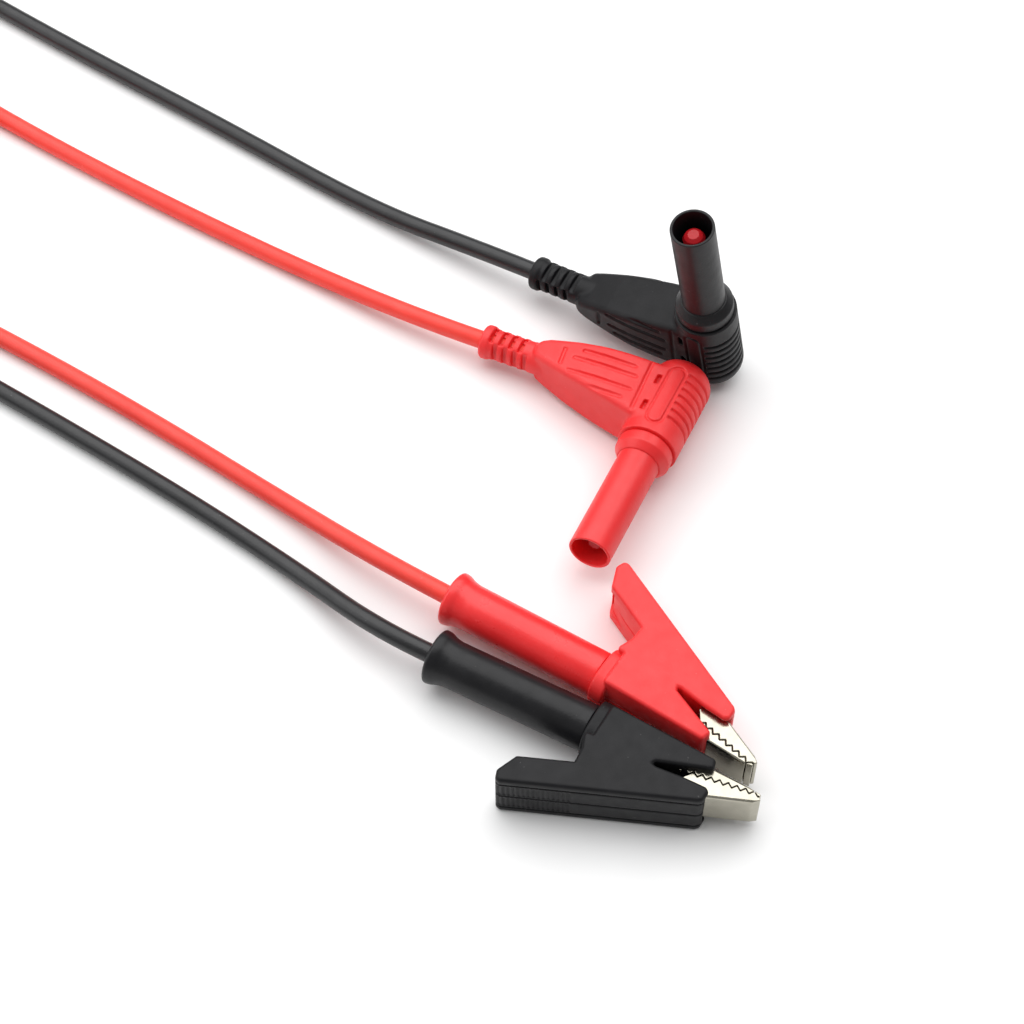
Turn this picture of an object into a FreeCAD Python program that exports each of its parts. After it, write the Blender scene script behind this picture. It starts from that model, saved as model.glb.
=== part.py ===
import FreeCAD, Part
import math
import os

import Sketcher
from FreeCAD import Placement, Rotation, Vector

# A red and a black test lead. Each has an insulated alligator clip, a silicone cord with
# a put-away coil, and a right-angle shrouded 4 mm banana plug. Millimetres, +Z up,
# the leads lie on z = 0. The origin is under the middle of the clips and plugs.

doc = FreeCAD.newDocument("alligator_clip_lead")

SIZES = {
    # clip frame: X along the handle towards the jaw tips, Y towards the lever, Z across
    "cover_thickness": 11.4,
    "cover_plate": 1.1,
    "cover_wall": 1.2,
    "cover_round": 0.75,
    "half_gap": 0.3,
    "pivot_x": 5.7,
    "pivot_y": 5.8,
    "disc_radius": 6.45,
    "lever_tip_x": -9.6,
    "lever_tip_y": 18.5,
    "lever_end_x": -10.5,
    "lever_end_y": 16.7,
    "lever_inner_x": -8.9,
    "lever_inner_y": 12.9,
    "notch_x": -0.1,
    "notch_y": 8.8,
    "heel_x": -1.0,
    "heel_y": 5.0,
    "shoulder_x": -1.8,
    "shoulder_y": 3.1,
    "throat_x": 11.5,
    "throat_y": 2.8,
    "lower_lip_x": 20.7,
    "lower_lip_y": -0.8,
    "lower_tip_x": 20.3,
    "lower_tip_y": -2.8,
    "cover_bottom_y": -3.35,
    "upper_lip_x": 21.2,
    "upper_lip_y": 2.55,
    "upper_tip_x": 21.5,
    "upper_tip_y": 5.1,
    "collar_radius": 4.7,
    "collar_length": 1.9,
    # handle sleeve
    "sleeve_radius": 4.1,
    "sleeve_bore": 2.6,
    "sleeve_length": 33.6,
    "spigot_radius": 3.5,
    "spigot_gap": 0.15,
    "rim_radius": 5.1,
    "rim_length": 4.0,
    "cord_hole": 1.8,
    # jaws
    "steel": 0.7,
    "jaw_half_width": 3.9,
    "tail_half_width": 3.0,
    "jaw_bottom_y": -1.95,
    "jaw_tip_x": 29.4,
    "jaw_tip_y": -1.1,
    "jaw_slope": 9.9,
    "jaw_nose": 1.1,
    "tooth_pitch": 1.5,
    "tooth_depth": 0.75,
    "tooth_gap": 0.24,
    "step_x": 16.2,
    "tail_end_x": -7.5,
    "tail_end_y": 15.6,
    "brow_x": 22.0,
    "brow_y": 3.2,
    "ear_radius": 2.6,
    "barrel_radius": 1.9,
    "barrel_bore": 1.1,
    "barrel_length": 9.0,
    # pivot
    "rivet_radius": 1.2,
    "rivet_clearance": 0.05,
    "rivet_head_radius": 2.0,
    "rivet_head": 0.6,
    "spring_radius": 2.0,
    "spring_wire": 0.25,
    "spring_length": 3.8,
    # cord
    "cord_radius": 1.75,
    "strand_radius": 1.05,
    "strip_length": 12.0,
    "coil_radius": 20.0,
    "coil_width": 12.6,
    "coil_height": 7.0,
    # plug frame: Z along the shroud towards its mouth, X along the arm towards the cord
    "head_radius": 5.8,
    "head_length": 20.0,
    "head_round": 3.6,
    "arm_half_width": 5.3,
    "arm_rear_half_width": 3.5,
    "arm_round": 1.6,
    "arm_taper_x": 14.0,
    "arm_length": 27.6,
    "arm_axis_z": -11.6,
    "relief_radius": 3.0,
    "relief_end": 38.5,
    "flange_radius": 3.35,
    "flange_length": 1.4,
    "slot_width": 0.9,
    "slot_pitch": 2.4,
    "slot_first_x": 28.4,
    "slot_depth": 1.1,
    "shroud_radius": 4.0,
    "shroud_bore": 3.45,
    "shroud_length": 26.2,
    "shroud_floor": 2.6,
    "collar_ring_radius": 5.35,
    "collar_ring_height": 2.4,
    "collar_cone_height": 3.9,
    "line_depth": 0.35,
    "core_radius": 4.4,
    "core_length": 15.0,
    "pin_radius": 2.0,
    "pin_neck_radius": 1.5,
    "pin_root": 13.5,
    "pin_neck_start": 5.0,
    "pin_neck_end": 20.2,
    "pin_length": 21.0,
    "peg_radius": 1.0,
    "peg_length": 2.0,
    "tip_length": 3.2,
    "lantern_radius": 2.1,
    "lantern_wall": 0.35,
    "lantern_slot": 0.6,
}

# where each lead's clip and plug lie: positions, then angles in degrees
STAGE = {
    "red_clip_x": 3.7,
    "red_clip_y": -33.45,
    "red_clip_turn": -35.4,
    "red_clip_roll": 0,
    "red_sleeve_swing": 4.2,
    "red_plug_x": 11.25,
    "red_plug_y": 14.6,
    "red_plug_z": 6.9,
    "red_plug_yaw": 155.2,
    "red_plug_pitch": 2.4,
    "red_plug_roll": -86.3,
    "black_clip_x": 1.7,
    "black_clip_y": -43.65,
    "black_clip_turn": -30.1,
    "black_clip_roll": 180,
    "black_sleeve_swing": 2.0,
    "black_plug_x": 22.1,
    "black_plug_y": 36.3,
    "black_plug_z": 20.62,
    "black_plug_yaw": 148.9,
    "black_plug_pitch": 5.4,
    "black_plug_roll": -9.2,
}

LEADS = ("red", "black")


def fill_sheet():
    """The driving dimensions, one per row, each with its alias."""
    sheet = doc.addObject("Spreadsheet::Sheet", "Dims")
    for row, (alias, value) in enumerate({**SIZES, **STAGE}.items(), start=1):
        sheet.set(f"A{row}", alias)
        sheet.set(f"B{row}", str(value))
        sheet.setAlias(f"B{row}", alias)
    doc.recompute()
    return sheet


SHEET = fill_sheet()


def size(alias):
    return float(SHEET.get(alias))


# ---------------------------------------------------------------- sketch helpers


def new_body(label):
    body = doc.addObject("PartDesign::Body", label)
    body.Label = label
    return body


def origin_plane(body, role):
    return next(f for f in body.Origin.OriginFeatures if f.Role == role)


def new_sketch(body, name, role="XY_Plane"):
    sketch = body.newObject("Sketcher::SketchObject", name)
    sketch.AttachmentSupport = [(origin_plane(body, role), "")]
    sketch.MapMode = "FlatFace"
    return sketch


def bind(sketch, kind, point, text):
    """Hold one coordinate of a sketch point to an expression."""
    value = float(sketch.evalExpression(text))
    index = sketch.addConstraint(Sketcher.Constraint(kind, -1, 1, *point, value))
    sketch.setExpression(f"Constraints[{index}]", text)


def outline(sketch, corners):
    """A closed outline of straight edges whose corners are pairs of expressions."""
    ends = [
        Vector(float(sketch.evalExpression(x)), float(sketch.evalExpression(y)), 0)
        for x, y in corners
    ]
    first = sketch.GeometryCount
    count = len(ends)
    for k in range(count):
        sketch.addGeometry(Part.LineSegment(ends[k], ends[(k + 1) % count]), False)
    for k in range(count):
        after = first + (k + 1) % count
        sketch.addConstraint(Sketcher.Constraint("Coincident", first + k, 2, after, 1))
    for k, (x, y) in enumerate(corners):
        bind(sketch, "DistanceX", (first + k, 1), x)
        bind(sketch, "DistanceY", (first + k, 1), y)


def circle(sketch, x, y, radius):
    """A circle whose centre and radius are expressions."""
    centre = Vector(float(sketch.evalExpression(x)), float(sketch.evalExpression(y)), 0)
    reach = float(sketch.evalExpression(radius))
    index = sketch.addGeometry(Part.Circle(centre, Vector(0, 0, 1), reach), False)
    bind(sketch, "DistanceX", (index, 3), x)
    bind(sketch, "DistanceY", (index, 3), y)
    held = sketch.addConstraint(Sketcher.Constraint("Radius", index, reach))
    sketch.setExpression(f"Constraints[{held}]", radius)


def pad(body, sketch, length):
    """Extrude a sketch to both sides of its plane."""
    feature = body.newObject("PartDesign::Pad", sketch.Name + "_pad")
    feature.Profile = sketch
    feature.Midplane = True
    feature.setExpression("Length", length)
    doc.recompute()
    return feature


def pocket(body, sketch, length):
    """Cut a sketch to both sides of its plane."""
    before = body.Shape.Volume
    feature = body.newObject("PartDesign::Pocket", sketch.Name + "_pocket")
    feature.Profile = sketch
    feature.Midplane = True
    feature.setExpression("Length", length)
    doc.recompute()
    if feature.Shape.Volume >= before:
        raise RuntimeError(f"{feature.Name} cut nothing")
    return feature


def revolve(body, sketch, axis):
    """Turn a sketch a full circle about one of its own axes."""
    feature = body.newObject("PartDesign::Revolution", sketch.Name + "_turned")
    feature.Profile = sketch
    feature.ReferenceAxis = (sketch, [axis])
    feature.Angle = 360
    doc.recompute()
    return feature


AXIS_TURN = {
    "X": Rotation(Vector(0, 1, 0), 90),
    "Y": Rotation(Vector(1, 0, 0), -90),
    "Z": Rotation(),
}


def rod(body, kind, name, radius, length, start, axis="X"):
    """A cylinder feature from start, which is three expressions, along an axis."""
    feature = body.newObject(f"PartDesign::{kind}Cylinder", name)
    feature.AttachmentSupport = [(origin_plane(body, "XY_Plane"), "")]
    feature.MapMode = "FlatFace"
    feature.AttachmentOffset = Placement(Vector(0, 0, 0), AXIS_TURN[axis])
    feature.setExpression("Radius", radius)
    feature.setExpression("Height", length)
    for letter, text in zip("xyz", start):
        feature.setExpression(f"AttachmentOffset.Base.{letter}", text)
    doc.recompute()
    return feature


def block(body, kind, name, lengths, corner):
    """A box feature whose three lengths and lowest corner are expressions."""
    feature = body.newObject(f"PartDesign::{kind}Box", name)
    feature.AttachmentSupport = [(origin_plane(body, "XY_Plane"), "")]
    feature.MapMode = "FlatFace"
    for name_, text in zip(("Length", "Width", "Height"), lengths):
        feature.setExpression(name_, text)
    for letter, text in zip("xyz", corner):
        feature.setExpression(f"AttachmentOffset.Base.{letter}", text)
    doc.recompute()
    return feature


def round_edges(body, base, radius, wanted):
    """Fillet the edges of base for which wanted(edge) is true."""
    names = [f"Edge{k}" for k, edge in enumerate(base.Shape.Edges, 1) if wanted(edge)]
    feature = body.newObject("PartDesign::Fillet", base.Name + "_round")
    feature.Base = (base, names)
    feature.setExpression("Radius", radius)
    doc.recompute()
    return feature


def on_faces(half):
    """A test for edges that lie on either flat face, z = half or z = -half."""

    def wanted(edge):
        box = edge.BoundBox
        flat = box.ZMax - box.ZMin < 1e-4
        return flat and abs(abs(box.ZMax) - half) < 1e-4

    return wanted


def named(*words):
    """Corners from the sheet: each word stands for its _x and _y cells."""
    return [(f"Dims.{word}_x", f"Dims.{word}_y") for word in words]


# ---------------------------------------------------------------- clip: the cover


def cover_fixed_half(label):
    """Collar and lower jaw of the cover, hollow, open along the jaws."""
    body = new_body(label)
    corners = (
        [("Dims.lower_tip_x - 0.4", "Dims.cover_bottom_y")]
        + named("lower_tip", "lower_lip", "throat", "pivot", "heel", "shoulder")
        + [("0", "Dims.shoulder_y"), ("0", "Dims.cover_bottom_y")]
    )
    shell = new_sketch(body, label + "_outline")
    outline(shell, corners)
    solid = pad(body, shell, "Dims.cover_thickness")
    round_edges(body, solid, "Dims.cover_round", on_faces(size("cover_thickness") / 2))
    disc = new_sketch(body, label + "_disc_seat")
    circle(
        disc,
        "Dims.pivot_x",
        "Dims.pivot_y",
        "Dims.disc_radius + Dims.half_gap",
    )
    pocket(body, disc, "Dims.cover_thickness * 2")
    start = ("-Dims.collar_length", "0", "0")
    rod(
        body,
        "Additive",
        label + "_collar",
        "Dims.collar_radius",
        "Dims.collar_length + 0.5",
        start,
    )
    rod(
        body,
        "Subtractive",
        label + "_collar_bore",
        "Dims.spigot_radius + Dims.spigot_gap",
        "Dims.collar_length",
        start,
    )
    floor = "Dims.cover_bottom_y + Dims.cover_wall"
    cavity = new_sketch(body, label + "_cavity")
    far = "Dims.jaw_tip_x"
    top = "Dims.notch_y"
    outline(cavity, [("0", floor), (far, floor), (far, top), ("0", top)])
    pocket(body, cavity, "Dims.cover_thickness - 2 * Dims.cover_plate")
    return body


def cover_lever_half(label):
    """Lever and upper jaw of the cover, with the disc round the pivot."""
    body = new_body(label)
    shell = new_sketch(body, label + "_outline")
    corners = named(
        "lever_tip",
        "lever_end",
        "lever_inner",
        "notch",
        "pivot",
        "throat",
        "upper_lip",
        "upper_tip",
    )
    corners.insert(4, ("Dims.heel_x + Dims.half_gap * 2", "Dims.heel_y"))
    outline(shell, corners)
    pad(body, shell, "Dims.cover_thickness")
    disc = new_sketch(body, label + "_disc")
    circle(disc, "Dims.pivot_x", "Dims.pivot_y", "Dims.disc_radius")
    solid = pad(body, disc, "Dims.cover_thickness")
    round_edges(body, solid, "Dims.cover_round", on_faces(size("cover_thickness") / 2))
    cavity = new_sketch(body, label + "_cavity")
    inner = [
        ("Dims.upper_tip_x + 1", "Dims.upper_tip_y - Dims.cover_wall * 1.5"),
        ("Dims.lever_tip_x + 1.4", "Dims.lever_tip_y - 2"),
        ("Dims.lever_end_x + 1.7", "Dims.lever_end_y - 0.9"),
        ("Dims.lever_inner_x + 1.2", "Dims.lever_inner_y + 1"),
        ("Dims.notch_x + 1.2", "Dims.notch_y + 1"),
        ("Dims.heel_x - 2", "Dims.heel_y - 1"),
        ("Dims.pivot_x - 1", "Dims.pivot_y - Dims.disc_radius * 1.4"),
        ("Dims.upper_tip_x + 1", "Dims.cover_bottom_y"),
    ]
    outline(cavity, inner)
    pocket(body, cavity, "Dims.cover_thickness - 2 * Dims.cover_plate")
    return body


def handle_sleeve(label):
    """Handle tube with its flared rear rim and the spigot inside the collar."""
    body = new_body(label)
    profile = new_sketch(body, label + "_profile")
    rear = "-Dims.sleeve_length"
    neck = "-Dims.sleeve_length + Dims.rim_length"
    outline(
        profile,
        [
            ("-0.1", "Dims.sleeve_bore"),
            ("-0.1", "Dims.spigot_radius"),
            ("-Dims.collar_length - 0.2", "Dims.spigot_radius"),
            ("-Dims.collar_length - 0.2", "Dims.sleeve_radius"),
            (neck, "Dims.sleeve_radius"),
            (neck + " - 1.6", "Dims.sleeve_radius + 0.5"),
            (neck + " - 2.6", "Dims.rim_radius"),
            (rear + " + 0.4", "Dims.rim_radius - 0.1"),
            (rear, "Dims.rim_radius - 0.7"),
            (rear, "Dims.cord_hole"),
            (rear + " + 3", "Dims.cord_hole"),
            (rear + " + 3", "Dims.sleeve_bore"),
        ],
    )
    revolve(body, profile, "H_Axis")
    return body


# ---------------------------------------------------------------- clip: the metal parts


def along_jaw(steps, lift):
    """A point on the parting line, steps teeth back from the tip, lifted off it."""
    slope = "Dims.jaw_slope * 1deg"
    run = f"({steps}) * Dims.tooth_pitch"
    return (
        f"Dims.jaw_tip_x - {run} * cos({slope}) + ({lift}) * sin({slope})",
        f"Dims.jaw_tip_y + {run} * sin({slope}) + ({lift}) * cos({slope})",
    )


def teeth(count, shift):
    """The zigzag edge, from the jaw's tip back to its last tooth."""
    edge = [along_jaw("0.1", shift)]
    for k in range(count):
        edge.append(along_jaw(f"{k} + 0.35", shift))
        edge.append(along_jaw(f"{k} + 0.85", f"{shift} - Dims.tooth_depth"))
    edge.append(along_jaw(f"{count} + 0.35", shift))
    return edge


def brow(at):
    """Height of the moving jaw's sloping back at a place along the clip."""
    return f"(Dims.brow_y + (Dims.brow_x - {at}) * 0.427)"


def fixed_jaw(label):
    """Lower channel with teeth, two ears on the rivet, and the crimp barrel."""
    body = new_body(label)
    plate = new_sketch(body, label + "_outline")
    corners = [
        ("0.5", "Dims.jaw_bottom_y"),
        ("Dims.jaw_tip_x - 2.6", "Dims.jaw_bottom_y"),
        ("Dims.jaw_tip_x - 0.1", "Dims.jaw_bottom_y + 0.4"),
    ]
    corners += teeth(10, "-Dims.tooth_gap / 2")
    corners += [
        ("Dims.pivot_x + 4.1", "2.3"),
        ("Dims.pivot_x + Dims.ear_radius", "Dims.pivot_y"),
        ("Dims.pivot_x - Dims.ear_radius", "Dims.pivot_y"),
        ("2", "2.2"),
        ("0.5", "0"),
    ]
    outline(plate, corners)
    pad(body, plate, "Dims.jaw_half_width * 2")
    ear = new_sketch(body, label + "_ear")
    circle(ear, "Dims.pivot_x", "Dims.pivot_y", "Dims.ear_radius")
    pad(body, ear, "Dims.jaw_half_width * 2")
    channel = new_sketch(body, label + "_channel")
    floor = "Dims.jaw_bottom_y + Dims.steel"
    front = "Dims.jaw_tip_x - Dims.jaw_nose"
    top = "Dims.notch_y"
    outline(channel, [("0", floor), (front, floor), (front, top), ("0", top)])
    pocket(body, channel, "2 * (Dims.jaw_half_width - Dims.steel)")
    start = ("-Dims.barrel_length", "0", "0")
    rod(
        body,
        "Additive",
        label + "_barrel",
        "Dims.barrel_radius",
        "Dims.barrel_length + 2.5",
        start,
    )
    rod(
        body,
        "Subtractive",
        label + "_barrel_bore",
        "Dims.barrel_bore",
        "Dims.barrel_length + 3",
        start,
    )
    hole = new_sketch(body, label + "_hole")
    circle(hole, "Dims.pivot_x", "Dims.pivot_y", "Dims.rivet_radius")
    pocket(body, hole, "Dims.cover_thickness")
    return body


def moving_jaw(label):
    """Upper channel with teeth, stepped in behind the teeth, and its lever tail."""
    body = new_body(label)
    front = new_sketch(body, label + "_front")
    step, behind = "Dims.step_x", "(Dims.step_x + Dims.steel)"
    corners = [
        (step, "Dims.throat_y - 0.4"),
        (step, brow(step)),
        ("Dims.brow_x", "Dims.brow_y"),
        ("Dims.jaw_tip_x - 0.9", "Dims.jaw_tip_y + 1.55"),
        ("Dims.jaw_tip_x + 0.25", "Dims.jaw_tip_y + 0.5"),
    ]
    outline(front, corners + teeth(8, "Dims.tooth_gap / 2"))
    pad(body, front, "Dims.jaw_half_width * 2")
    inside = new_sketch(body, label + "_front_channel")
    wall = "Dims.steel * 1.1"
    nose = "Dims.jaw_tip_x - Dims.jaw_nose"
    corners = [
        (behind, "Dims.cover_bottom_y"),
        (behind, f"{brow(behind)} - {wall}"),
        ("Dims.brow_x", f"Dims.brow_y - {wall}"),
        (nose, f"Dims.jaw_tip_y + 1.5 - {wall}"),
        (nose, "Dims.cover_bottom_y"),
    ]
    outline(inside, corners)
    pocket(body, inside, "2 * (Dims.jaw_half_width - Dims.steel)")
    tail = new_sketch(body, label + "_tail")
    corners = [
        (behind, brow(behind)),
        ("Dims.tail_end_x", "Dims.tail_end_y"),
        ("Dims.tail_end_x", "Dims.tail_end_y - 1.3"),
        ("Dims.notch_x + 1.9", "Dims.notch_y + 1.5"),
        ("Dims.pivot_x - Dims.ear_radius", "Dims.pivot_y"),
        ("Dims.pivot_x", "Dims.pivot_y - Dims.ear_radius"),
        (behind, "Dims.pivot_y - 1.6"),
    ]
    outline(tail, corners)
    pad(body, tail, "Dims.tail_half_width * 2")
    groove = new_sketch(body, label + "_tail_channel")
    corners = [
        (step, f"{brow(step)} - {wall}"),
        ("Dims.tail_end_x - 1", f"Dims.tail_end_y + 0.4 - {wall}"),
        ("Dims.tail_end_x - 1", "Dims.cover_bottom_y"),
        (step, "Dims.cover_bottom_y"),
    ]
    outline(groove, corners)
    pocket(body, groove, "2 * (Dims.tail_half_width - Dims.steel)")
    hole = new_sketch(body, label + "_hole")
    radius = "Dims.rivet_radius + Dims.rivet_clearance"
    circle(hole, "Dims.pivot_x", "Dims.pivot_y", radius)
    pocket(body, hole, "Dims.cover_thickness")
    return body


def pivot_rivet(label):
    """Rivet through both pairs of ears, with a head at each end."""
    body = new_body(label)
    reach = "Dims.jaw_half_width + Dims.rivet_head"
    shank = ("Dims.pivot_x", "Dims.pivot_y", f"-({reach})")
    rod(
        body,
        "Additive",
        label + "_shank",
        "Dims.rivet_radius",
        f"2 * ({reach})",
        shank,
        "Z",
    )
    for name, low in (("top", "Dims.jaw_half_width"), ("foot", f"-({reach})")):
        start = ("Dims.pivot_x", "Dims.pivot_y", low)
        head = (label + "_" + name, "Dims.rivet_head_radius", "Dims.rivet_head")
        rod(body, "Additive", *head, start, "Z")
    return body


def torsion_spring(label):
    """Wound spring round the rivet, one leg under the lever, one in the fixed jaw."""
    radius, wire, length = (
        size("spring_radius"),
        size("spring_wire"),
        size("spring_length"),
    )
    turns = 5 + 170 / 360
    helix = Part.makeHelix(length / turns, length, radius)
    section = Part.Wire([Part.makeCircle(wire, Vector(radius, 0, 0), Vector(0, 1, 0))])
    coil = Part.Wire(helix.Edges).makePipeShell([section], True, True)
    coil.rotate(Vector(), Vector(0, 0, 1), 60)
    coil.translate(Vector(0, 0, -length / 2))
    legs = []
    for at, toward, run, level in ((60, 153.5, 8.4, -1), (230, -40, 8.0, 1)):
        start = Vector(
            radius * math.cos(math.radians(at)), radius * math.sin(math.radians(at)), 0
        )
        start.z = level * length / 2
        way = Vector(math.cos(math.radians(toward)), math.sin(math.radians(toward)), 0)
        legs.append(Part.makeCylinder(wire * 0.98, run, start, way))
    to_pivot = Placement(Vector(size("pivot_x"), size("pivot_y"), 0), Rotation())
    feature = doc.addObject("Part::Feature", label)
    feature.Label = label
    feature.Shape = coil.multiFuse(legs).transformed(to_pivot.toMatrix(), copy=True)
    return feature


def round_stock(label, radius, start, length):
    """A plain round stretch along X: jacket or bare strands."""
    body = new_body(label)
    rod(body, "Additive", label + "_round", radius, length, start)
    return body


# ---------------------------------------------------------------- plug


def plug_body(label):
    """Overmould: round head, tapered grip arm and slotted strain relief."""
    body = new_body(label)
    profile = new_sketch(body, label + "_profile", "XZ_Plane")
    corners = [
        ("0", "-2.4"),
        ("15", "-3.6"),
        ("23", "-6"),
        ("Dims.arm_length", "-9.2"),
        ("Dims.arm_length", "-14.2"),
        ("5", "-16.3"),
        ("0", "-16.3"),
    ]
    outline(profile, corners)
    arm = pad(body, profile, "Dims.arm_half_width * 2")

    def side_edge(edge):
        box = edge.BoundBox
        outermost = abs(abs(box.YMax) - size("arm_half_width")) < 1e-4
        return outermost and box.YMax - box.YMin < 1e-4 and box.XMax > 0.1

    round_edges(body, arm, "Dims.arm_round", side_edge)
    taper = new_sketch(body, label + "_taper")
    for sign in (1, -1):
        corners = [
            ("Dims.arm_taper_x", f"{sign} * Dims.arm_half_width"),
            ("Dims.arm_length + 1", f"{sign} * Dims.arm_rear_half_width"),
            ("Dims.arm_length + 1", f"{sign} * (Dims.arm_half_width + 1)"),
            ("Dims.arm_taper_x", f"{sign} * (Dims.arm_half_width + 1)"),
        ]
        outline(taper, corners)
    pocket(body, taper, "Dims.head_length * 3")
    start = ("0", "0", "-Dims.head_length")
    head = rod(
        body,
        "Additive",
        label + "_head",
        "Dims.head_radius",
        "Dims.head_length",
        start,
        "Z",
    )

    def head_end(edge):
        return abs(edge.BoundBox.ZMax + size("head_length")) < 1e-4

    round_edges(body, head, "Dims.head_round", head_end)
    strain_relief(body, label)
    plug_bores(body, label)
    return body


def strain_relief(body, label):
    """Round tail of the overmould with a rear flange and staggered slots."""
    axis = ("0", "Dims.arm_axis_z")
    start = ("Dims.arm_length - 2", *axis)
    rod(
        body,
        "Additive",
        label + "_relief",
        "Dims.relief_radius",
        "Dims.relief_end - Dims.arm_length + 2",
        start,
    )
    start = ("Dims.relief_end - Dims.flange_length", *axis)
    rod(
        body,
        "Additive",
        label + "_flange",
        "Dims.flange_radius",
        "Dims.flange_length",
        start,
    )
    for k in range(4):
        high = k % 2 == 0
        rise = "Dims.relief_radius - Dims.slot_depth" if high else "-Dims.relief_radius"
        corner = (
            f"Dims.slot_first_x + {k} * Dims.slot_pitch",
            "-Dims.flange_radius",
            f"Dims.arm_axis_z + {rise}",
        )
        lengths = ("Dims.slot_width", "Dims.flange_radius * 2", "Dims.slot_depth")
        block(body, "Subtractive", f"{label}_slot_{k}", lengths, corner)


def plug_bores(body, label):
    """Seats for the core, the bare conductor and the jacket."""
    start = ("0", "0", "-Dims.core_length")
    rod(
        body,
        "Subtractive",
        label + "_core_seat",
        "Dims.core_radius",
        "Dims.core_length",
        start,
        "Z",
    )
    start = ("0", "0", "Dims.arm_axis_z")
    rod(
        body,
        "Subtractive",
        label + "_strand_seat",
        "Dims.strand_radius",
        "Dims.strip_length",
        start,
    )
    start = ("Dims.strip_length", "0", "Dims.arm_axis_z")
    length = "Dims.relief_end - Dims.strip_length"
    rod(
        body,
        "Subtractive",
        label + "_jacket_seat",
        "Dims.cord_radius",
        length,
        start,
    )


def shroud(label):
    """Rigid sleeve round the pin, with its collar ring and floor."""
    body = new_body(label)
    profile = new_sketch(body, label + "_profile", "XZ_Plane")
    outline(
        profile,
        [
            ("Dims.pin_radius", "0"),
            ("Dims.collar_ring_radius - Dims.line_depth", "0"),
            ("Dims.collar_ring_radius - Dims.line_depth", "Dims.line_depth"),
            ("Dims.collar_ring_radius", "Dims.line_depth"),
            ("Dims.collar_ring_radius", "Dims.collar_ring_height"),
            ("Dims.shroud_radius + 0.3", "Dims.collar_cone_height"),
            ("Dims.shroud_radius", "Dims.collar_cone_height"),
            ("Dims.shroud_radius", "Dims.shroud_length"),
            ("Dims.shroud_bore", "Dims.shroud_length"),
            ("Dims.shroud_bore", "Dims.shroud_floor"),
            ("Dims.pin_radius", "Dims.shroud_floor"),
        ],
    )
    revolve(body, profile, "V_Axis")
    return body


def plug_core(label):
    """Insulator inside the head that holds the pin's root."""
    body = new_body(label)
    start = ("0", "0", "-Dims.core_length")
    rod(
        body,
        "Additive",
        label + "_round",
        "Dims.core_radius",
        "Dims.core_length",
        start,
        "Z",
    )
    start = ("0", "0", "-Dims.pin_root")
    rod(
        body,
        "Subtractive",
        label + "_pin_seat",
        "Dims.pin_radius",
        "Dims.pin_root",
        start,
        "Z",
    )
    start = ("0", "0", "Dims.arm_axis_z")
    rod(
        body,
        "Subtractive",
        label + "_strand_seat",
        "Dims.strand_radius",
        "Dims.core_radius + 1",
        start,
    )
    return body


def contact_pin(label):
    """Turned pin: root, necked shaft for the lantern spring, and a peg for the tip."""
    body = new_body(label)
    profile = new_sketch(body, label + "_profile", "XZ_Plane")
    outline(
        profile,
        [
            ("0", "-Dims.pin_root"),
            ("Dims.pin_radius", "-Dims.pin_root"),
            ("Dims.pin_radius", "Dims.pin_neck_start"),
            ("Dims.pin_neck_radius", "Dims.pin_neck_start"),
            ("Dims.pin_neck_radius", "Dims.pin_neck_end"),
            ("Dims.pin_radius", "Dims.pin_neck_end"),
            ("Dims.pin_radius", "Dims.pin_length"),
            ("Dims.peg_radius", "Dims.pin_length"),
            ("Dims.peg_radius", "Dims.pin_length + Dims.peg_length"),
            ("0", "Dims.pin_length + Dims.peg_length"),
        ],
    )
    revolve(body, profile, "V_Axis")
    return body


LAMELLAE = 6


def pin_spring(label):
    """Lantern spring: a bulged tube cut into lamellae between two end bands."""
    body = new_body(label)
    profile = new_sketch(body, label + "_profile", "XZ_Plane")
    low = "Dims.pin_neck_start + 0.1"
    high = "Dims.pin_neck_end - 0.1"
    band = "Dims.pin_neck_radius"
    middle = "(Dims.pin_neck_start + Dims.pin_neck_end) / 2"
    outline(
        profile,
        [
            (band, low),
            (f"{band} + Dims.lantern_wall", low),
            (f"{band} + Dims.lantern_wall", f"{low} + 1.6"),
            ("Dims.lantern_radius", f"{middle} - 2"),
            ("Dims.lantern_radius", f"{middle} + 2"),
            (f"{band} + Dims.lantern_wall", f"{high} - 1.6"),
            (f"{band} + Dims.lantern_wall", high),
            (band, high),
            (band, f"{high} - 1.6"),
            ("Dims.lantern_radius - Dims.lantern_wall", f"{middle} + 2"),
            ("Dims.lantern_radius - Dims.lantern_wall", f"{middle} - 2"),
            (band, f"{low} + 1.6"),
        ],
    )
    revolve(body, profile, "V_Axis")
    lengths = (
        "Dims.lantern_radius * 2",
        "Dims.lantern_slot",
        "Dims.pin_neck_end - Dims.pin_neck_start - 3.4",
    )
    corner = ("0", "-Dims.lantern_slot / 2", "Dims.pin_neck_start + 1.7")
    slot = block(body, "Subtractive", label + "_slot", lengths, corner)
    ring = body.newObject("PartDesign::PolarPattern", label + "_slots")
    ring.Originals = [slot]
    ring.Axis = (
        next(f for f in body.Origin.OriginFeatures if f.Role == "Z_Axis"),
        [""],
    )
    ring.Angle = 360
    ring.Occurrences = LAMELLAE
    body.Tip = ring
    doc.recompute()
    return body


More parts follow.
